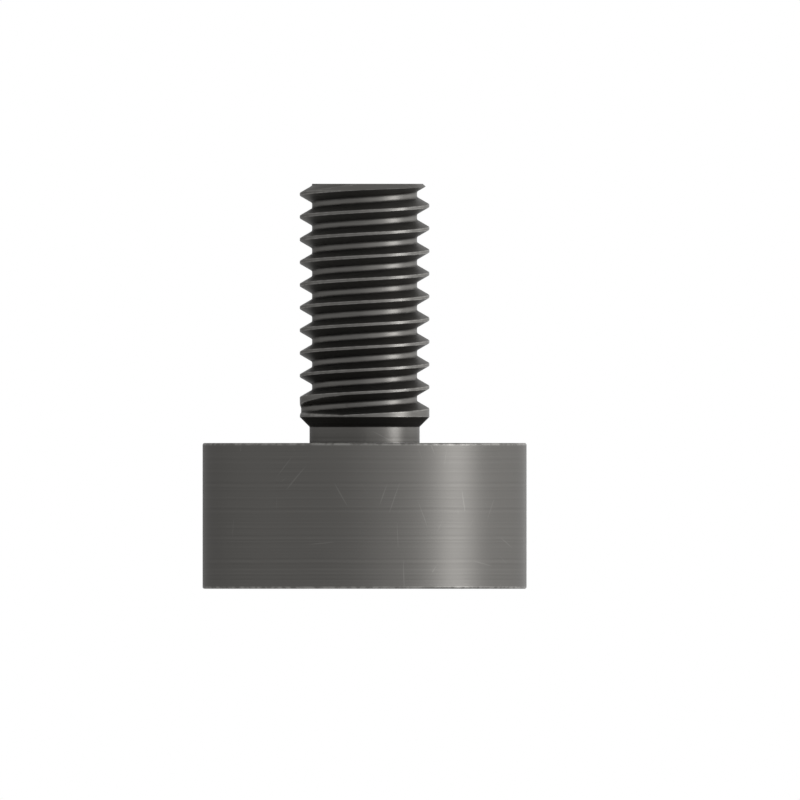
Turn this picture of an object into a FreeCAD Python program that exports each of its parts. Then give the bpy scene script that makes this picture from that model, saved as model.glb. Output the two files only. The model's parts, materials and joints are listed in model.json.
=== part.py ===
# Pot magnet: a steel cup holds a disc magnet in resin, and a threaded stud is staked into the cup's back.
# The holding face is down at height 0, and the stud points up along +Z. Sizes are in millimetres.

import FreeCAD
import Part

import math
import os

# The cup
pot_diameter = 10.0
pot_height = 4.5
pot_edge_chamfer = 0.05
pot_wall = 0.8
pot_floor = 1.5
rim_chamfer = 0.12

# The magnet, and the resin that holds it
magnet_gap = 0.45
magnet_edge_chamfer = 0.15
magnet_recess = 0.08
glue_film = 0.1
resin_setback = 0.05
resin_hollow = 0.08

# The stud above the cup
stud_diameter = 4.0
stud_length = 8.0
tip_chamfer = 0.2
neck_relief = 0.3
neck_length = 0.5

# The stud's thread, which is right-handed and has the ISO basic profile
thread_pitch = 0.7
thread_depth = thread_pitch * math.sqrt(3) / 2 * 5 / 8
root_width = thread_pitch / 4
flank_angle = 30
groove_overcut = thread_pitch / 12

# The thread's run-out, and the plain land under it. Full depth starts at the angle, in degrees from +X.
runout_turns = 0.25
runout_land = 0.1
full_depth_angle = 250

# The stud's foot in the cup's floor
spigot_diameter = 2.6
stake_flare = 0.4

# Radii and heights that follow from the sizes above
pot_radius = pot_diameter / 2
bore_radius = pot_radius - pot_wall
floor_height = pot_height - pot_floor
magnet_radius = bore_radius - magnet_gap
magnet_top = floor_height - glue_film
stud_radius = stud_diameter / 2
stud_top = pot_height + stud_length
neck_radius = stud_radius - neck_relief
neck_top = pot_height + neck_length
spigot_radius = spigot_diameter / 2
stake_radius = spigot_radius + stake_flare
stake_top = floor_height + stake_flare
resin_face = magnet_recess + magnet_edge_chamfer + resin_setback

# Points closer than this are the same point
same_point = 0.0001

CENTRE = FreeCAD.Vector(0, 0, 0)
ACROSS = FreeCAD.Vector(1, 0, 0)
UP = FreeCAD.Vector(0, 0, 1)


def turned(corners):
    """Spins an outline of (radius, height) corners round the axis. An arc runs through a corner marked "arc",
    from the corner before it to the next."""
    points = [FreeCAD.Vector(corner[0], 0, corner[1]) for corner in corners]
    edges = []
    for i, corner in enumerate(corners):
        if "arc" in corner:
            continue
        if "arc" in corners[i - 1]:
            edges.append(Part.Arc(points[i - 2], points[i - 1], points[i]).toShape())
        else:
            edges.append(Part.makeLine(points[i - 1], points[i]))
    return Part.Face(Part.Wire(edges)).revolve(CENTRE, UP, 360)


def pot():
    """The steel cup, open at the bottom, with the stud's hole and its countersink through the floor."""
    return turned(
        [
            (spigot_radius, pot_height),
            (pot_radius - pot_edge_chamfer, pot_height),
            (pot_radius, pot_height - pot_edge_chamfer),
            (pot_radius, pot_edge_chamfer),
            (pot_radius - pot_edge_chamfer, 0),
            (bore_radius + rim_chamfer, 0),
            (bore_radius, rim_chamfer),
            (bore_radius, floor_height),
            (stake_radius, floor_height),
            (spigot_radius, stake_top),
        ]
    )


def magnet():
    """The disc magnet, set a little back from the cup's rim."""
    return turned(
        [
            (0, magnet_recess),
            (magnet_radius - magnet_edge_chamfer, magnet_recess),
            (magnet_radius, magnet_recess + magnet_edge_chamfer),
            (magnet_radius, magnet_top - magnet_edge_chamfer),
            (magnet_radius - magnet_edge_chamfer, magnet_top),
            (0, magnet_top),
        ]
    )


def resin():
    """The resin between the magnet and the cup: a film above the magnet, and a ring whose face is hollow."""
    return turned(
        [
            (0, floor_height),
            (bore_radius, floor_height),
            (bore_radius, resin_face),
            (bore_radius - magnet_gap / 2, resin_face + resin_hollow, "arc"),
            (magnet_radius, resin_face),
            (magnet_radius, magnet_top - magnet_edge_chamfer),
            (magnet_radius - magnet_edge_chamfer, magnet_top),
            (0, magnet_top),
        ]
    )


def foot():
    """The stud's lower end: its neck, and the spigot that passes through the cup's floor, flared under it."""
    return turned(
        [
            (0, floor_height),
            (stake_radius, floor_height),
            (spigot_radius, stake_top),
            (spigot_radius, pot_height),
            (neck_radius, pot_height),
            (neck_radius, neck_top),
            (0, neck_top),
        ]
    )


def shank():
    """The bar that the thread is cut in, chamfered at its tip and down to the neck. Its round is drawn as
    several arcs, so that the thread's crest comes out as short faces."""
    arc_count = 12
    circle = Part.Circle(FreeCAD.Vector(0, 0, neck_top), UP, stud_radius)
    ends = [i * math.tau / arc_count for i in range(arc_count + 1)]
    arcs = [circle.toShape(start, end) for start, end in zip(ends, ends[1:])]
    bar = Part.Face(Part.Wire(arcs)).extrude(UP * (stud_top - neck_top))
    for height, size in ((stud_top, tip_chamfer), (neck_top, neck_relief)):
        end_edges = [edge for edge in bar.Edges if abs(edge.CenterOfMass.z - height) < same_point]
        bar = bar.makeChamfer(size, end_edges)
    return bar


def groove(height, cone_angle=0):
    """One stretch of the thread's groove, swept along a helix that widens upwards by the cone's angle. Its
    flanks go on a little past the bar's surface."""
    root_radius = stud_radius - thread_depth
    mouth_radius = stud_radius + groove_overcut
    root_half = root_width / 2
    mouth_half = root_half + (mouth_radius - root_radius) * math.tan(math.radians(flank_angle))
    corners = [
        FreeCAD.Vector(root_radius, 0, -root_half),
        FreeCAD.Vector(mouth_radius, 0, -mouth_half),
        FreeCAD.Vector(mouth_radius, 0, mouth_half),
        FreeCAD.Vector(root_radius, 0, root_half),
    ]
    slant = math.cos(math.radians(cone_angle))
    helix = Part.Wire(Part.makeHelix(thread_pitch / slant, height / slant, stud_radius, cone_angle))
    return helix.makePipeShell([Part.makePolygon(corners + corners[:1])], True, True)


def grooves():
    """The whole groove: full turns up past the tip, and under them a run-out that leaves on a cone."""
    runout_height = runout_turns * thread_pitch
    runout_angle = math.degrees(math.atan2(thread_depth + groove_overcut, runout_height))
    runout = groove(runout_height, runout_angle).rotated(CENTRE, ACROSS, 180)
    start = neck_top + neck_relief + runout_land + root_width / 2 + runout_height
    turns = math.ceil((stud_top + thread_pitch - start) / thread_pitch)
    turn = groove(thread_pitch)
    stretches = [runout] + [turn.translated(UP * (i * thread_pitch)) for i in range(turns)]
    return [stretch.translated(UP * start).rotated(CENTRE, UP, full_depth_angle) for stretch in stretches]


def stud():
    """The stud: its foot and neck, and above them the threaded bar, all one piece."""
    return foot().fuse(shank().cut(grooves(), same_point)).Solids[0]


os.makedirs("parts", exist_ok=True)
for name, make in {"pot": pot, "magnet": magnet, "resin": resin, "stud": stud}.items():
    make().exportStep(os.path.join("parts", name + ".step"))
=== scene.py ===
# Pot magnet, dressed: a turned steel cup, a stud with a rolled thread, a plated disc magnet and its resin.
# Outlines are in millimetres and the finished pieces in metres. The holding face is down, at height 0.

import json
import math

import bmesh
import bpy
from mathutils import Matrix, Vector


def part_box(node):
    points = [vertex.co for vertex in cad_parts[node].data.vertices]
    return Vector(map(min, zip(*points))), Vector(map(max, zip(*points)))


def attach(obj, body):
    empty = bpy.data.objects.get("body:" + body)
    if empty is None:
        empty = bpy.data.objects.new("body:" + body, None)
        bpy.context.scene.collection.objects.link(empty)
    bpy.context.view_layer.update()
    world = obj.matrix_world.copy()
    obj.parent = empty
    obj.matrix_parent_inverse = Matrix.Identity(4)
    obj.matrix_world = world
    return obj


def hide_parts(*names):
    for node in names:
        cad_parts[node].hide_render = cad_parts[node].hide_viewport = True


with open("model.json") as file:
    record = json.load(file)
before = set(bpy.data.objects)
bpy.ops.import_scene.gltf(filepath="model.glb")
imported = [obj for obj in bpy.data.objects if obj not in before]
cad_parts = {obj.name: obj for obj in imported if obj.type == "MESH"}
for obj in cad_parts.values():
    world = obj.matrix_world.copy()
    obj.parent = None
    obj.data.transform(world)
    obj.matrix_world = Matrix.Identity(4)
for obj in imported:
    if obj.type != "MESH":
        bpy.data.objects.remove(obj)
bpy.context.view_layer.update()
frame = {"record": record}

MM = 0.001


def extent(node_name):
    """A round node's radius, and its lowest and highest height, in millimetres."""
    low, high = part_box(node_name)
    return [round(value / MM, 3) for value in (high.x, low.z, high.z)]


# The cup
POT_RADIUS, RIM_HEIGHT, POT_HEIGHT = extent("pot")
POT_EDGE = 0.06
RIM_CHAMFER = 0.12
RIM_ROUNDING = 0.02

# The magnet, and the resin between it and the cup
MAGNET_RADIUS, MAGNET_FACE, MAGNET_TOP = extent("magnet")
MAGNET_ROUNDING = 0.15
BORE_RADIUS, RESIN_FACE, FLOOR_HEIGHT = extent("resin")
RESIN_HOLLOW = 0.08
RESIN_WAVES = ((2, 0.009, 0.4), (3, 0.007, 2.1), (7, 0.004, 1.3), (12, 0.002, 5.0))

# The stud. The record's mount gives its thread's radius and how far the thread reaches.
STUD_TOP = extent("stud")[2]
THREADED_PIN = next(mount for mount in frame["record"]["mounts"] if mount["name"] == "stud")
STUD_RADIUS = THREADED_PIN["dims"]["r_mm"]
THREAD_MIDDLE = round(THREADED_PIN["pos_m"][2] / MM, 3)
THREAD_HALF = THREADED_PIN["dims"]["length_mm"] / 2
THREAD_BOTTOM = THREAD_MIDDLE - THREAD_HALF
TIP_CHAMFER = STUD_TOP - THREAD_MIDDLE - THREAD_HALF
NECK_RELIEF = 0.3
NECK_RADIUS = STUD_RADIUS - NECK_RELIEF
NECK_TOP = THREAD_BOTTOM - NECK_RELIEF
SPIGOT_RADIUS = 1.3
STAKE_FLARE = 0.4
STUD_ROUNDING = 0.03

# The thread
PITCH = 0.7
THREAD_DEPTH = PITCH * math.sqrt(3) / 2 * 5 / 8
ROOT_WIDTH = PITCH / 4
CREST_WIDTH = PITCH / 8
CREST_ROUNDING = 0.035
ROOT_ROUNDING = 0.07

# How far the plain bar stands proud of the crests, and how far inside the root its tip has a ring of points
CREST_CLEARANCE = 0.0005
ROOT_MARGIN = 0.04

# Where the thread runs out above the stud's cone. The angle is in degrees from +X.
RUNOUT_TURNS = 0.25
GROOVE_OVERCUT = PITCH / 12
RUNOUT_RISE = THREAD_DEPTH + GROOVE_OVERCUT
RUNOUT_LIP = 0.05
RUNOUT_LAND = 0.1
FULL_DEPTH_ANGLE = 250
FULL_DEPTH_HEIGHT = THREAD_BOTTOM + RUNOUT_LAND + ROOT_WIDTH / 2 + RUNOUT_TURNS * PITCH

# How finely the meshes are cut
SPIN_COLUMNS = 240
THREAD_COLUMNS = 180
HOLLOW_STEPS = 12
ROUNDING_STEPS = 5
TUMBLED_STEPS = 8
THREAD_ROUNDING_STEPS = 4
GUARD_DISTANCE = 0.03
THREAD_GUARD_DISTANCE = 0.015
LONGEST_STRETCH = 0.05
SAME_POINT = 0.0004
SHARP_ANGLE = math.radians(32)

# How sharply a surface turns at a corner that starts to wear, and at one that wears fully
FIRST_WEAR_ANGLE = math.radians(4)
FULL_WEAR_ANGLE = math.radians(13)

# The share of its wear that an edge keeps where it is least burnished
LEAST_WEAR = 0.25

# The turning marks' rings: how many more of them a level face has, and how far they waver
LEVEL_RING_RATE = 1.13
RING_WAVER = 0.05

# The hairlines: layers of fine strokes, each moved on from the one before, in patches that turn them
STROKE_LAYERS = 3
LAYER_SHIFT = (7.3, 3.9, 5.1)
PATCHES_PER_MM = 0.45
STROKES_PER_MM = (0.5, 11.0, 1.0)
STROKE_SOFTNESS = 0.08

# How far up or down a surface has to face to count as level
LEVEL_FACING = 0.7

# The range in which most of a surface's tone lies, and the shares of drift and rings in a steel's tone
TONE_RANGE = (0.2, 0.8)
DRIFT_SHARE = 0.55
RING_SHARE = 0.45

# The picture
PICTURE_WIDTH = 24.69
PICTURE_CENTRE = (1.093, 5.827)
CAMERA_DISTANCE = 120
NEAREST_SEEN = 1
FARTHEST_SEEN = 10000

# The floor: how far it goes from its middle, and how far under the rim it lies
FLOOR_REACH = 500
FLOOR_DROP = 0.02

# The white surround's light, where 1 is the white that the camera and mirrors see
SURROUND_LIGHT = 0.65


# Shapes

def round_off(corners, closed=True, steps=ROUNDING_STEPS, guard=GUARD_DISTANCE):
    """Points along an outline of (radius, height) corners. A corner's third number is the rounding it gets.
    A guard point on each side of a corner keeps its shading and its wear to itself."""
    points = []
    for i, corner in enumerate(corners):
        here = Vector(corner[:2])
        if not closed and i in (0, len(corners) - 1):
            points.append(here)
            continue
        back = (Vector(corners[i - 1][:2]) - here).normalized()
        on = (Vector(corners[(i + 1) % len(corners)][:2]) - here).normalized()
        if len(corner) < 3:
            points += [here + back * guard, here, here + on * guard]
            continue
        rounding = corner[2]
        half = back.angle(on) / 2
        centre = here + (back + on).normalized() * (rounding / math.sin(half))
        first = here + back * (rounding / math.tan(half)) - centre
        last = here + on * (rounding / math.tan(half)) - centre
        start = math.atan2(first.y, first.x)
        sweep = (math.atan2(last.y, last.x) - start + math.pi) % math.tau - math.pi
        points.append(centre + first + back * guard)
        for step in range(steps + 1):
            angle = start + sweep * step / steps
            points.append(centre + rounding * Vector((math.cos(angle), math.sin(angle))))
        points.append(centre + last + on * guard)
    return points


def spun(outline, closed=True, lift=None):
    """A bmesh of an outline spun round the axis. lift gives how far a point rises at its angle."""
    shape = bmesh.new()
    rings = []
    for index, (radius, height) in enumerate(outline):
        if radius < SAME_POINT:
            rings.append([shape.verts.new((0, 0, height))] * SPIN_COLUMNS)
            continue
        ring = []
        for column in range(SPIN_COLUMNS):
            angle = math.tau * column / SPIN_COLUMNS
            rise = lift(index, angle) if lift else 0
            place = (radius * math.cos(angle), radius * math.sin(angle), height + rise)
            ring.append(shape.verts.new(place))
        rings.append(ring)
    for lower, upper in zip(rings, rings[1:] + rings[:1] if closed else rings[1:]):
        for column in range(SPIN_COLUMNS):
            beside = (column + 1) % SPIN_COLUMNS
            corners = dict.fromkeys((lower[column], lower[beside], upper[beside], upper[column]))
            shape.faces.new(list(corners))
    bmesh.ops.recalc_face_normals(shape, faces=shape.faces)
    return shape


def mark_edges(shape):
    """Keeps how sharply the surface turns at each vertex: out over an edge, or in at a hollow."""
    edge = shape.verts.layers.float.new("edge")
    hollow = shape.verts.layers.float.new("hollow")
    span = FULL_WEAR_ANGLE - FIRST_WEAR_ANGLE
    for vertex in shape.verts:
        turns = [link.calc_face_angle_signed(0) for link in vertex.link_edges]
        vertex[edge] = min(max((max(turns) - FIRST_WEAR_ANGLE) / span, 0), 1)
        vertex[hollow] = min(max((-min(turns) - FIRST_WEAR_ANGLE) / span, 0), 1)


def piece(name, shape, material, stands_for):
    """The finished piece, in metres, in the place of the node that it stands for."""
    bmesh.ops.remove_doubles(shape, verts=shape.verts, dist=SAME_POINT)
    bmesh.ops.dissolve_degenerate(shape, edges=shape.edges, dist=SAME_POINT / 2)
    mark_edges(shape)
    bmesh.ops.scale(shape, vec=(MM, MM, MM), verts=shape.verts)
    made = as_object(name, shape)
    made.data.shade_smooth()
    made.data.set_sharp_from_angle(angle=SHARP_ANGLE)
    made.data.materials.append(material)
    evened = made.modifiers.new("even shading", "WEIGHTED_NORMAL")
    evened.keep_sharp = True
    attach(made, "root")
    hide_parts(stands_for)


def as_object(name, shape):
    """A bmesh made into an object of the scene."""
    mesh = bpy.data.meshes.new(name)
    shape.to_mesh(mesh)
    shape.free()
    made = bpy.data.objects.new(name, mesh)
    bpy.context.scene.collection.objects.link(made)
    return made


def cup_shape():
    """The cup: its outside, rim and bore, and the stud's hole through the floor."""
    return spun(round_off([
        (SPIGOT_RADIUS, POT_HEIGHT),
        (POT_RADIUS, POT_HEIGHT, POT_EDGE),
        (POT_RADIUS, RIM_HEIGHT, POT_EDGE),
        (BORE_RADIUS + RIM_CHAMFER, RIM_HEIGHT, RIM_ROUNDING),
        (BORE_RADIUS, RIM_HEIGHT + RIM_CHAMFER, RIM_ROUNDING),
        (BORE_RADIUS, FLOOR_HEIGHT),
        (SPIGOT_RADIUS + STAKE_FLARE, FLOOR_HEIGHT),
        (SPIGOT_RADIUS, FLOOR_HEIGHT + STAKE_FLARE),
    ]))


def magnet_shape():
    """The disc magnet, with tumbled edges."""
    return spun(round_off([
        (0, MAGNET_FACE),
        (MAGNET_RADIUS, MAGNET_FACE, MAGNET_ROUNDING),
        (MAGNET_RADIUS, MAGNET_TOP, MAGNET_ROUNDING),
        (0, MAGNET_TOP),
    ], closed=False, steps=TUMBLED_STEPS), closed=False)


def resin_shape():
    """The resin, whose face hangs in a hollow between the magnet and the cup and isn't quite even."""
    middle = (MAGNET_RADIUS + BORE_RADIUS) / 2
    half = (BORE_RADIUS - MAGNET_RADIUS) / 2
    face = []
    for step in range(HOLLOW_STEPS + 1):
        across = 1 - 2 * step / HOLLOW_STEPS
        face.append((middle + half * across, RESIN_FACE + RESIN_HOLLOW * (1 - across ** 2)))
    back = [(0, FLOOR_HEIGHT), (BORE_RADIUS, FLOOR_HEIGHT)]
    film = round_off([
        (MAGNET_RADIUS, RESIN_FACE),
        (MAGNET_RADIUS, MAGNET_TOP, MAGNET_ROUNDING),
        (0, MAGNET_TOP),
    ], closed=False)[1:]

    def uneven(index, angle):
        """How far a point of the face rises or sinks at its angle."""
        if not len(back) <= index < len(back) + len(face):
            return 0
        return sum(size * math.sin(count * angle + start) for count, size, start in RESIN_WAVES)

    return spun(back + face + film, closed=False, lift=uneven)


def between(start, end):
    """The start of a stretch of outline, and the points that divide it where it is long."""
    parts = max(1, math.ceil((end - start).length / LONGEST_STRETCH))
    return [start.lerp(end, part / parts) for part in range(parts)]


def thread_outline():
    """One pitch of the thread from crest to crest, as (radius, height) points about the groove's middle."""
    root = STUD_RADIUS - THREAD_DEPTH
    crest_edge = (PITCH - CREST_WIDTH) / 2
    points = round_off([
        (STUD_RADIUS, -PITCH / 2),
        (STUD_RADIUS, -crest_edge, CREST_ROUNDING),
        (root, -ROOT_WIDTH / 2, ROOT_ROUNDING),
        (root, ROOT_WIDTH / 2, ROOT_ROUNDING),
        (STUD_RADIUS, crest_edge, CREST_ROUNDING),
        (STUD_RADIUS, PITCH / 2),
    ], closed=False, steps=THREAD_ROUNDING_STEPS, guard=THREAD_GUARD_DISTANCE)
    return [point for start, end in zip(points, points[1:]) for point in between(start, end)]


def fading(depth, lip):
    """A depth that fades out over a soft lip, where it would otherwise end at a sharp edge."""
    return (depth + math.hypot(depth, lip)) / 2


def on_thread(turns, radius, height):
    """A point of the thread, so many turns above the place where its groove reaches full depth. Below that
    place the groove leaves the bar on a cone, with a soft lip, and its crest stays at the bar's radius."""
    rise = RUNOUT_RISE * max(0, -turns / RUNOUT_TURNS)
    lip = min(rise, RUNOUT_LIP)
    reach = STUD_RADIUS - fading(STUD_RADIUS - radius - rise, lip) + fading(-rise, lip)
    angle = math.radians(FULL_DEPTH_ANGLE) + math.tau * turns
    return reach * math.cos(angle), reach * math.sin(angle), FULL_DEPTH_HEIGHT + PITCH * turns + height


def threaded_rod():
    """A rod with the thread along it, from below the stud's foot to above its tip. Its rows climb with the
    thread, and each goes on as the row one turn above it."""
    shape = bmesh.new()
    outline = thread_outline()
    pitch_rows = len(outline)
    lowest_turn = math.floor((FLOOR_HEIGHT - FULL_DEPTH_HEIGHT) / PITCH) - 1
    highest_turn = math.ceil((STUD_TOP - FULL_DEPTH_HEIGHT) / PITCH) + 1
    top_row = (highest_turn - lowest_turn) * pitch_rows
    made = {}

    def point(row, column):
        """A vertex of the rod, made when it is first asked for."""
        if column == THREAD_COLUMNS:
            row, column = row + pitch_rows, 0
        if (row, column) not in made:
            turn, step = divmod(row, pitch_rows)
            turns = lowest_turn + turn + column / THREAD_COLUMNS
            made[row, column] = shape.verts.new(on_thread(turns, *outline[step]))
        return made[row, column]

    for row in range(top_row):
        for column in range(THREAD_COLUMNS):
            lower = [point(row, column), point(row, column + 1)]
            upper = [point(row + 1, column + 1), point(row + 1, column)]
            shape.faces.new(lower + upper)
    for row, apex_height in ((0, FLOOR_HEIGHT - 2 * PITCH), (top_row, STUD_TOP + PITCH)):
        loop = [point(row, column) for column in range(THREAD_COLUMNS)]
        loop += [point(row + climb, 0) for climb in range(pitch_rows, 0, -1)]
        apex = shape.verts.new((0, 0, apex_height))
        for here, beside in zip(loop, loop[1:] + loop[:1]):
            shape.faces.new((here, beside, apex))
    bmesh.ops.recalc_face_normals(shape, faces=shape.faces)
    return shape


def plain_stud():
    """The stud before its thread: the foot in the cup's floor, the neck, the cone and the bar with its
    chamfered tip. Rings of points along the chamfer and the tip's edge keep the wear beside the thread."""
    bar = STUD_RADIUS + CREST_CLEARANCE
    tip = bar - TIP_CHAMFER
    inside_root = STUD_RADIUS - THREAD_DEPTH - ROOT_MARGIN
    return spun(round_off([
        (0, FLOOR_HEIGHT),
        (SPIGOT_RADIUS + STAKE_FLARE, FLOOR_HEIGHT),
        (SPIGOT_RADIUS, FLOOR_HEIGHT + STAKE_FLARE),
        (SPIGOT_RADIUS, POT_HEIGHT),
        (NECK_RADIUS, POT_HEIGHT),
        (NECK_RADIUS, NECK_TOP, STUD_ROUNDING),
        (bar, NECK_TOP + bar - NECK_RADIUS, STUD_ROUNDING),
        (bar, STUD_TOP - TIP_CHAMFER, STUD_ROUNDING),
        ((bar + tip) / 2, STUD_TOP - TIP_CHAMFER / 2),
        (tip, STUD_TOP, STUD_ROUNDING),
        ((tip + inside_root) / 2, STUD_TOP),
        (inside_root, STUD_TOP),
        (0, STUD_TOP),
    ], closed=False), closed=False)


def stud_shape():
    """The stud: what the threaded rod and the plain stud have in common."""
    plain = as_object("plain stud", plain_stud())
    rod = as_object("threaded rod", threaded_rod())
    common = rod.modifiers.new("common", "BOOLEAN")
    common.operation = "INTERSECT"
    common.solver = "EXACT"
    common.object = plain
    shape = bmesh.new()
    shape.from_object(rod, bpy.context.evaluated_depsgraph_get())
    for used in (plain, rod):
        mesh = used.data
        bpy.data.objects.remove(used)
        bpy.data.meshes.remove(mesh)
    return shape


# Node helpers

def node(tree, kind, inputs=None, **settings):
    """A new shader node. An input is a plain value, or the socket that feeds it."""
    made = tree.nodes.new("ShaderNode" + kind)
    for name, value in settings.items():
        setattr(made, name, value)
    for name, value in (inputs or {}).items():
        if isinstance(value, bpy.types.NodeSocket):
            tree.links.new(value, made.inputs[name])
        else:
            made.inputs[name].default_value = value
    return made


def calc(tree, operation, *values):
    """The output of a Math node."""
    return node(tree, "Math", dict(enumerate(values)), operation=operation).outputs[0]


def vector_calc(tree, operation, *values):
    """The output of a Vector Math node."""
    return node(tree, "VectorMath", dict(enumerate(values)), operation=operation).outputs[0]


def remap(tree, value, low, high, to_low=0.0, to_high=1.0):
    """A value's range turned smoothly into another."""
    ranges = {"Value": value, "From Min": low, "From Max": high, "To Min": to_low, "To Max": to_high}
    return node(tree, "MapRange", ranges, interpolation_type="SMOOTHSTEP").outputs["Result"]


def part_of(tree, value, share):
    """A share of a value."""
    return calc(tree, "MULTIPLY", value, share)


def blend(tree, share, first, second):
    """Two colours mixed by a share."""
    return node(tree, "Mix", {0: share, 6: first, 7: second}, data_type="RGBA").outputs[2]


def place_mm(tree, stretch=(1, 1, 1)):
    """The place on the piece in millimetres, stretched along its axes."""
    place = node(tree, "TexCoord").outputs["Object"]
    return vector_calc(tree, "MULTIPLY", place, [along / MM for along in stretch])


def round_place(tree):
    """The parts of the place in millimetres, and its distance from the axis."""
    parts = node(tree, "SeparateXYZ", {0: place_mm(tree)}).outputs
    squares = [calc(tree, "POWER", parts[axis], 2.0) for axis in (0, 1)]
    return parts, calc(tree, "SQRT", calc(tree, "ADD", *squares))


def place_on_skin(tree, radius):
    """The place on a turned surface in millimetres: unrolled on a round side, and flat on a level face."""
    parts, from_axis = round_place(tree)
    round_it = calc(tree, "MULTIPLY", calc(tree, "ARCTAN2", parts[1], parts[0]), radius)
    along = calc(tree, "ADD", parts[2], from_axis)
    unrolled = node(tree, "CombineXYZ", {0: round_it, 1: along}).outputs[0]
    level = node(tree, "CombineXYZ", {0: parts[0], 1: parts[1]}).outputs[0]
    facing = node(tree, "SeparateXYZ", {0: node(tree, "TexCoord").outputs["Normal"]}).outputs[2]
    is_level = calc(tree, "GREATER_THAN", calc(tree, "ABSOLUTE", facing), LEVEL_FACING)
    return node(tree, "Mix", {0: is_level, 4: unrolled, 5: level}, data_type="VECTOR").outputs[1]


def noise(tree, place, scale, detail=3.0, roughness=0.5):
    """A noise texture's value at a place."""
    inputs = {"Vector": place, "Scale": scale, "Detail": detail, "Roughness": roughness}
    return node(tree, "TexNoise", inputs).outputs[0]


def noise_along(tree, distance):
    """A smooth noise along a line."""
    inputs = {"W": distance, "Scale": 1.0, "Detail": 1.0}
    return node(tree, "TexNoise", inputs, noise_dimensions="1D").outputs[0]


def group(name, inputs, outputs):
    """A new node group with float inputs (name: default) and outputs. Returns its tree, its inputs, and the
    sockets that take its outputs."""
    tree = bpy.data.node_groups.new(name, "ShaderNodeTree")
    for title, default in inputs.items():
        socket = tree.interface.new_socket(title, in_out="INPUT", socket_type="NodeSocketFloat")
        socket.default_value = default
    for title in outputs:
        tree.interface.new_socket(title, in_out="OUTPUT", socket_type="NodeSocketFloat")
    start = tree.nodes.new("NodeGroupInput")
    end = tree.nodes.new("NodeGroupOutput")
    return tree, start.outputs, end.inputs


def use(tree, shared, **values):
    """A node group placed in a material, with its values. Returns its outputs."""
    placed = tree.nodes.new("ShaderNodeGroup")
    placed.node_tree = shared
    for name, value in values.items():
        placed.inputs[name].default_value = value
    return placed.outputs


# Effects that the finishes share

def turning_marks():
    """Fine rings that a lathe tool leaves, on round sides and flat faces alike."""
    tree, given, out = group("turning marks", {"Spacing": 0.05, "Unevenness": 0.3}, ("Height", "Tone"))
    parts, from_axis = round_place(tree)
    path = calc(tree, "ADD", parts[2], calc(tree, "MULTIPLY", from_axis, LEVEL_RING_RATE))
    waver = noise(tree, place_mm(tree), scale=0.5, detail=2.0)
    path = calc(tree, "ADD", path, calc(tree, "MULTIPLY", waver, RING_WAVER))
    rings = noise_along(tree, calc(tree, "DIVIDE", path, given["Spacing"]))
    patches = noise(tree, place_mm(tree, stretch=(1, 1, 0.4)), scale=0.9, detail=2.0)
    faint = remap(tree, patches, low=0.3, high=0.7)
    strength = calc(tree, "SUBTRACT", 1.0, calc(tree, "MULTIPLY", faint, given["Unevenness"]))
    centred = calc(tree, "MULTIPLY", calc(tree, "SUBTRACT", rings, 0.5), strength)
    tree.links.new(calc(tree, "ADD", centred, 0.5), out["Height"])
    tree.links.new(calc(tree, "ADD", calc(tree, "MULTIPLY", centred, 2.0), 0.5), out["Tone"])
    return tree


def edge_wear():
    """Where handling has burnished the edges, broken up so that it isn't even."""
    tree, given, out = group("edge wear", {"Amount": 1.0, "Grain": 6.0}, ("Mask",))
    edge = node(tree, "Attribute", attribute_name="edge").outputs["Fac"]
    patches = noise(tree, place_mm(tree), given["Grain"], detail=4.0)
    broken = remap(tree, patches, low=0.35, high=0.65)
    worn = calc(tree, "MULTIPLY", edge, calc(tree, "ADD", broken, LEAST_WEAR))
    worn = calc(tree, "MULTIPLY", worn, given["Amount"])
    tree.links.new(calc(tree, "MINIMUM", worn, 1.0), out["Mask"])
    return tree


def hollow_shade():
    """Painted shade in hollows, stronger in some patches than in others."""
    tree, given, out = group("hollow shade", {"Amount": 1.0}, ("Mask",))
    hollow = node(tree, "Attribute", attribute_name="hollow").outputs["Fac"]
    patches = noise(tree, place_mm(tree), scale=2.5, detail=4.0)
    patchiness = remap(tree, patches, low=0.3, high=0.7, to_low=0.4)
    painted_shade = calc(tree, "MULTIPLY", hollow, patchiness)
    tree.links.new(calc(tree, "MULTIPLY", painted_shade, given["Amount"]), out["Mask"])
    return tree


def tone_drift():
    """Slow changes of tone over a surface, about a middle of 0.5."""
    tree, given, out = group("tone drift", {"Size": 2.0, "Amount": 0.5}, ("Tone",))
    broad = noise(tree, place_mm(tree), calc(tree, "DIVIDE", 1.0, given["Size"]), roughness=0.6)
    centred = calc(tree, "MULTIPLY", calc(tree, "SUBTRACT", broad, 0.5), given["Amount"])
    tree.links.new(calc(tree, "ADD", centred, 0.5), out["Tone"])
    return tree


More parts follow.
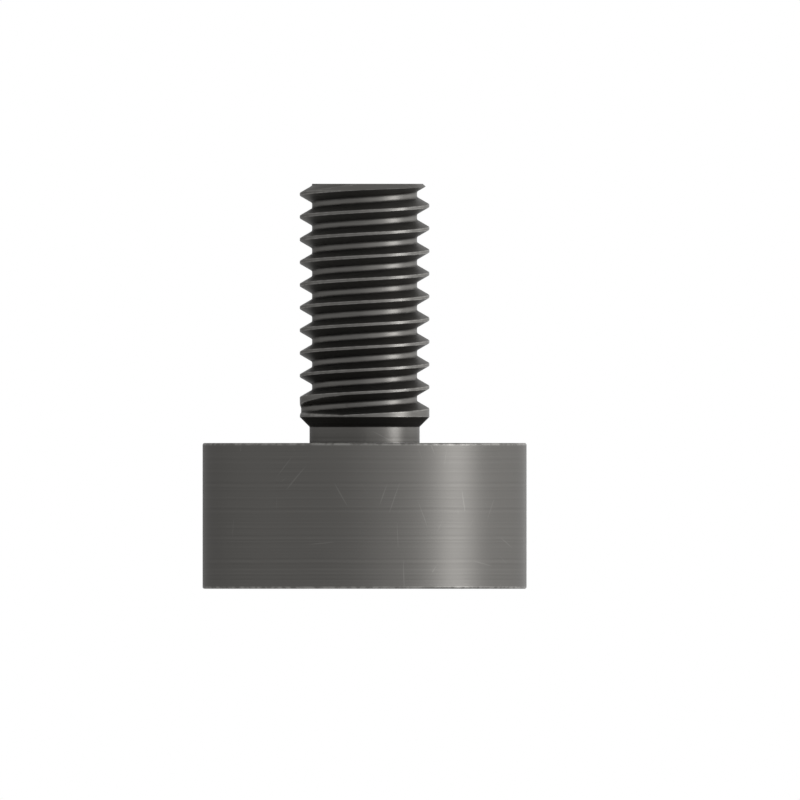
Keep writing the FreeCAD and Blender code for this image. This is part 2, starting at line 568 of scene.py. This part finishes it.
def hairlines():
    """Sparse hairline scratches, straight and thin, whose direction changes from patch to patch. They lie
    in the surface of a round piece, whose radius in millimetres is given."""
    tree, given, out = group("hairlines", {"Sparseness": 0.7, "Radius": 5.0}, ("Mask",))
    skin = place_on_skin(tree, given["Radius"])
    full = calc(tree, "ADD", given["Sparseness"], STROKE_SOFTNESS)
    deepest = 0.0
    for layer in range(STROKE_LAYERS):
        moved = vector_calc(tree, "ADD", skin, [along * layer for along in LAYER_SHIFT])
        patch = node(tree, "TexVoronoi", {"Vector": moved, "Scale": PATCHES_PER_MM}).outputs["Color"]
        turn = calc(tree, "MULTIPLY", node(tree, "SeparateColor", {0: patch}).outputs[0], math.pi)
        across = {"Vector": moved, "Angle": turn}
        turned = node(tree, "VectorRotate", across, rotation_type="Z_AXIS").outputs[0]
        stretched = vector_calc(tree, "MULTIPLY", turned, STROKES_PER_MM)
        strokes = noise(tree, stretched, scale=1.0, detail=0.0)
        strokes = remap(tree, strokes, low=given["Sparseness"], high=full)
        deepest = calc(tree, "MAXIMUM", deepest, strokes)
    tree.links.new(deepest, out["Mask"])
    return tree


def fine_grain():
    """The fine uneven grain of a plated or cast skin."""
    tree, given, out = group("fine grain", {"Size": 0.05}, ("Height",))
    grain = noise(tree, place_mm(tree), calc(tree, "DIVIDE", 1.0, given["Size"]), roughness=0.6)
    tree.links.new(grain, out["Height"])
    return tree


EFFECTS = {
    "turning": turning_marks(),
    "wear": edge_wear(),
    "painted_shade": hollow_shade(),
    "drift": tone_drift(),
    "hairlines": hairlines(),
    "grain": fine_grain(),
}


# Colours, as red, green, blue and opacity. A pair gives the darkest and the lightest tone of a surface.

CUP_STEEL = (0.0774, 0.075, 0.0711, 1.0), (0.0933, 0.0904, 0.0859, 1.0)
# The stud is the cup's steel made lighter: painted light that makes up for the shade on its neck, between
# the cup and the thread.
LIGHTENED_STUD_STEEL = (0.088, 0.0853, 0.0809, 1.0), (0.106, 0.1028, 0.0975, 1.0)
BARE_STEEL = (0.18, 0.176, 0.168, 1.0)
# A near black, for the painted shade in hollows
PAINTED_HOLLOW_SHADE = (0.02, 0.019, 0.018, 1.0)
NICKEL = (0.47, 0.45, 0.41, 1.0), (0.57, 0.55, 0.51, 1.0)
BURNISHED_NICKEL = (0.68, 0.66, 0.61, 1.0)
SCRATCHED_NICKEL = (0.36, 0.345, 0.32, 1.0)
RESIN = (0.016, 0.016, 0.018, 1.0), (0.026, 0.026, 0.028, 1.0)
DUST = (0.16, 0.155, 0.145, 1.0)
PALE_FLOOR = (0.76, 0.76, 0.755, 1.0), (0.82, 0.82, 0.815, 1.0)
WHITE = (1.0, 1.0, 1.0, 1.0)
STEEL_EDGE_TINT = (0.5, 0.5, 0.5, 1.0)


# Finishes

def blank_material(name):
    """A material with an empty Principled shader. Returns the material, its tree and the shader."""
    material = bpy.data.materials.new(name)
    material.use_nodes = True
    return material, material.node_tree, material.node_tree.nodes["Principled BSDF"]


def bumped(tree, height, depth, below=None):
    """A normal bumped by a height, whose full range is a depth in millimetres."""
    inputs = {"Height": height, "Distance": depth * MM, "Strength": 1.0}
    if below is not None:
        inputs["Normal"] = below
    return node(tree, "Bump", inputs).outputs[0]


def dark_steel(name, radius, tones, roughness, worn):
    """Dark satin steel with turning marks, hairlines, bright worn edges, and painted shade in its rougher
    hollows.
    """
    material, tree, shader = blank_material(name)
    turning = use(tree, EFFECTS["turning"], Spacing=0.09, Unevenness=0.6)
    drift = use(tree, EFFECTS["drift"], Size=5.0, Amount=0.9)["Tone"]
    scratches = use(tree, EFFECTS["hairlines"], Sparseness=0.8, Radius=radius)["Mask"]
    wear = use(tree, EFFECTS["wear"], Amount=worn, Grain=5.0)["Mask"]
    painted_shade = use(tree, EFFECTS["painted_shade"], Amount=0.7)["Mask"]
    grain = use(tree, EFFECTS["grain"], Size=0.03)["Height"]
    rings = part_of(tree, turning["Tone"], RING_SHARE)
    tone = calc(tree, "ADD", part_of(tree, drift, DRIFT_SHARE), rings)
    steel = blend(tree, remap(tree, tone, *TONE_RANGE), *tones)
    rubbed = calc(tree, "MAXIMUM", wear, part_of(tree, scratches, share=0.2))
    steel = blend(tree, rubbed, steel, BARE_STEEL)
    # Painted shade: the hollows are darkened towards a near black.
    steel = blend(tree, part_of(tree, painted_shade, share=0.8), steel, PAINTED_HOLLOW_SHADE)
    tree.links.new(steel, shader.inputs["Base Color"])
    rough = remap(tree, drift, *TONE_RANGE, to_low=-0.03, to_high=0.04)
    rough = calc(tree, "ADD", rough, roughness)
    # The painted shade's mask also makes the hollows a little rougher.
    rough = calc(tree, "ADD", rough, part_of(tree, painted_shade, share=0.2))
    rough = calc(tree, "SUBTRACT", rough, part_of(tree, wear, share=0.08))
    tree.links.new(rough, shader.inputs["Roughness"])
    shader.inputs["Metallic"].default_value = 1.0
    shader.inputs["Specular Tint"].default_value = STEEL_EDGE_TINT
    normal = bumped(tree, grain, depth=0.0006)
    normal = bumped(tree, turning["Height"], depth=0.002, below=normal)
    tree.links.new(normal, shader.inputs["Normal"])
    return material


def nickel_plate():
    """The magnet's nickel plating: bright, softly grained, with hairlines and burnished edges."""
    material, tree, shader = blank_material("nickel plate")
    drift = use(tree, EFFECTS["drift"], Size=1.8, Amount=1.1)["Tone"]
    scratches = use(tree, EFFECTS["hairlines"], Sparseness=0.77, Radius=MAGNET_RADIUS)["Mask"]
    wear = use(tree, EFFECTS["wear"], Amount=0.8, Grain=4.0)["Mask"]
    grain = use(tree, EFFECTS["grain"], Size=0.12)["Height"]
    plate = blend(tree, remap(tree, drift, *TONE_RANGE), *NICKEL)
    plate = blend(tree, part_of(tree, wear, share=0.5), plate, BURNISHED_NICKEL)
    plate = blend(tree, part_of(tree, scratches, share=0.3), plate, SCRATCHED_NICKEL)
    tree.links.new(plate, shader.inputs["Base Color"])
    rough = remap(tree, drift, *TONE_RANGE, to_low=0.22, to_high=0.3)
    rough = calc(tree, "ADD", rough, part_of(tree, scratches, share=0.15))
    tree.links.new(rough, shader.inputs["Roughness"])
    shader.inputs["Metallic"].default_value = 1.0
    tree.links.new(bumped(tree, grain, depth=0.0025), shader.inputs["Normal"])
    return material


def black_resin():
    """Black potting resin: glossy, with a soft unevenness, pinholes and a little dust."""
    material, tree, shader = blank_material("black resin")
    drift = use(tree, EFFECTS["drift"], Size=0.8, Amount=1.2)["Tone"]
    swell = use(tree, EFFECTS["grain"], Size=0.25)["Height"]
    specks = remap(tree, use(tree, EFFECTS["grain"], Size=0.035)["Height"], low=0.66, high=0.74)
    cells = node(tree, "TexVoronoi", {"Vector": place_mm(tree), "Scale": 3.2}).outputs["Distance"]
    holes = remap(tree, cells, low=0.05, high=0.11)
    resin = blend(tree, drift, *RESIN)
    resin = blend(tree, part_of(tree, specks, share=0.5), resin, DUST)
    tree.links.new(resin, shader.inputs["Base Color"])
    rough = remap(tree, drift, *TONE_RANGE, to_low=0.16, to_high=0.26)
    rough = calc(tree, "ADD", rough, part_of(tree, specks, share=0.4))
    tree.links.new(rough, shader.inputs["Roughness"])
    normal = bumped(tree, swell, depth=0.02)
    normal = bumped(tree, holes, depth=0.02, below=normal)
    tree.links.new(normal, shader.inputs["Normal"])
    return material


# The studio

def floor():
    """A pale floor just under the rim. It can't be seen from below, and only the camera sees it."""
    material, tree, shader = blank_material("pale floor")
    pale = blend(tree, noise(tree, place_mm(tree), scale=0.15, detail=4.0), *PALE_FLOOR)
    tree.links.new(pale, shader.inputs["Base Color"])
    shader.inputs["Roughness"].default_value = 0.9
    clear = node(tree, "BsdfTransparent").outputs[0]
    below = node(tree, "NewGeometry").outputs["Backfacing"]
    seen = node(tree, "MixShader", {0: below, 1: shader.outputs[0], 2: clear}).outputs[0]
    tree.links.new(seen, tree.nodes["Material Output"].inputs["Surface"])
    mesh = bpy.data.meshes.new("floor")
    reach = FLOOR_REACH * MM
    corners = [(-reach, -reach, 0), (reach, -reach, 0), (reach, reach, 0), (-reach, reach, 0)]
    mesh.from_pydata(corners, [], [(0, 1, 2, 3)])
    mesh.materials.append(material)
    made = bpy.data.objects.new("floor", mesh)
    made.location.z = -FLOOR_DROP * MM
    bpy.context.scene.collection.objects.link(made)
    made.visible_diffuse = made.visible_glossy = False
    made.visible_transmission = made.visible_shadow = False


def soft_lamp(name, turn, lift, distance, width, height, radiance):
    """A soft rectangular lamp that faces the part. turn is its angle to the right of the camera, and lift
    its angle above level."""
    data = bpy.data.lights.new(name, "AREA")
    data.shape = "RECTANGLE"
    data.size, data.size_y = width * MM, height * MM
    data.energy = radiance * math.pi * data.size * data.size_y
    made = bpy.data.objects.new(name, data)
    turn, lift = math.radians(turn), math.radians(lift)
    level = math.cos(lift)
    away = Vector((math.sin(turn) * level, -math.cos(turn) * level, math.sin(lift)))
    made.location = Vector((0, 0, PICTURE_CENTRE[1] * MM)) + away * distance * MM
    made.rotation_euler = away.to_track_quat("Z", "Y").to_euler()
    made.visible_camera = False
    bpy.context.scene.collection.objects.link(made)


def studio():
    """A white surround, a strip of soft light at the right, and broad fills in front and behind."""
    world = bpy.data.worlds.new("white surround")
    bpy.context.scene.world = world
    world.use_nodes = True
    tree = world.node_tree
    path = node(tree, "LightPath").outputs
    mirrored = calc(tree, "MAXIMUM", path["Is Glossy Ray"], path["Is Transmission Ray"])
    seen = calc(tree, "MAXIMUM", path["Is Camera Ray"], mirrored)
    surround = tree.nodes["Background"]
    surround.inputs["Color"].default_value = WHITE
    strength = remap(tree, seen, low=0.0, high=1.0, to_low=SURROUND_LIGHT)
    tree.links.new(strength, surround.inputs["Strength"])
    soft_lamp("strip", turn=66, lift=4, distance=70, width=26, height=66, radiance=8.4)
    soft_lamp("front fill", turn=26, lift=6, distance=90, width=76, height=80, radiance=0.7)
    soft_lamp("back fill", turn=132, lift=6, distance=80, width=100, height=90, radiance=1.6)


def camera():
    """A level camera, square on to the part, without perspective."""
    data = bpy.data.cameras.new("camera")
    data.type = "ORTHO"
    data.ortho_scale = PICTURE_WIDTH * MM
    data.clip_start = NEAREST_SEEN * MM
    data.clip_end = FARTHEST_SEEN * MM
    made = bpy.data.objects.new("camera", data)
    made.location = Vector((PICTURE_CENTRE[0], -CAMERA_DISTANCE, PICTURE_CENTRE[1])) * MM
    made.rotation_euler = (math.radians(90), 0, 0)
    bpy.context.scene.collection.objects.link(made)
    bpy.context.scene.camera = made


camera()
studio()
floor()
bpy.context.scene.view_settings.view_transform = "Standard"

cup_steel = dark_steel("cup steel", POT_RADIUS, CUP_STEEL, roughness=0.45, worn=0.9)
# The stud's lighter tones are painted light, for the shade on its neck.
lightened_stud_steel = dark_steel("lightened stud steel", STUD_RADIUS, LIGHTENED_STUD_STEEL, roughness=0.4, worn=0.7)
piece("steel_cup", cup_shape(), cup_steel, "pot")
piece("threaded_stud", stud_shape(), lightened_stud_steel, "stud")
piece("disc_magnet", magnet_shape(), nickel_plate(), "magnet")
piece("potting_resin", resin_shape(), black_resin(), "resin")
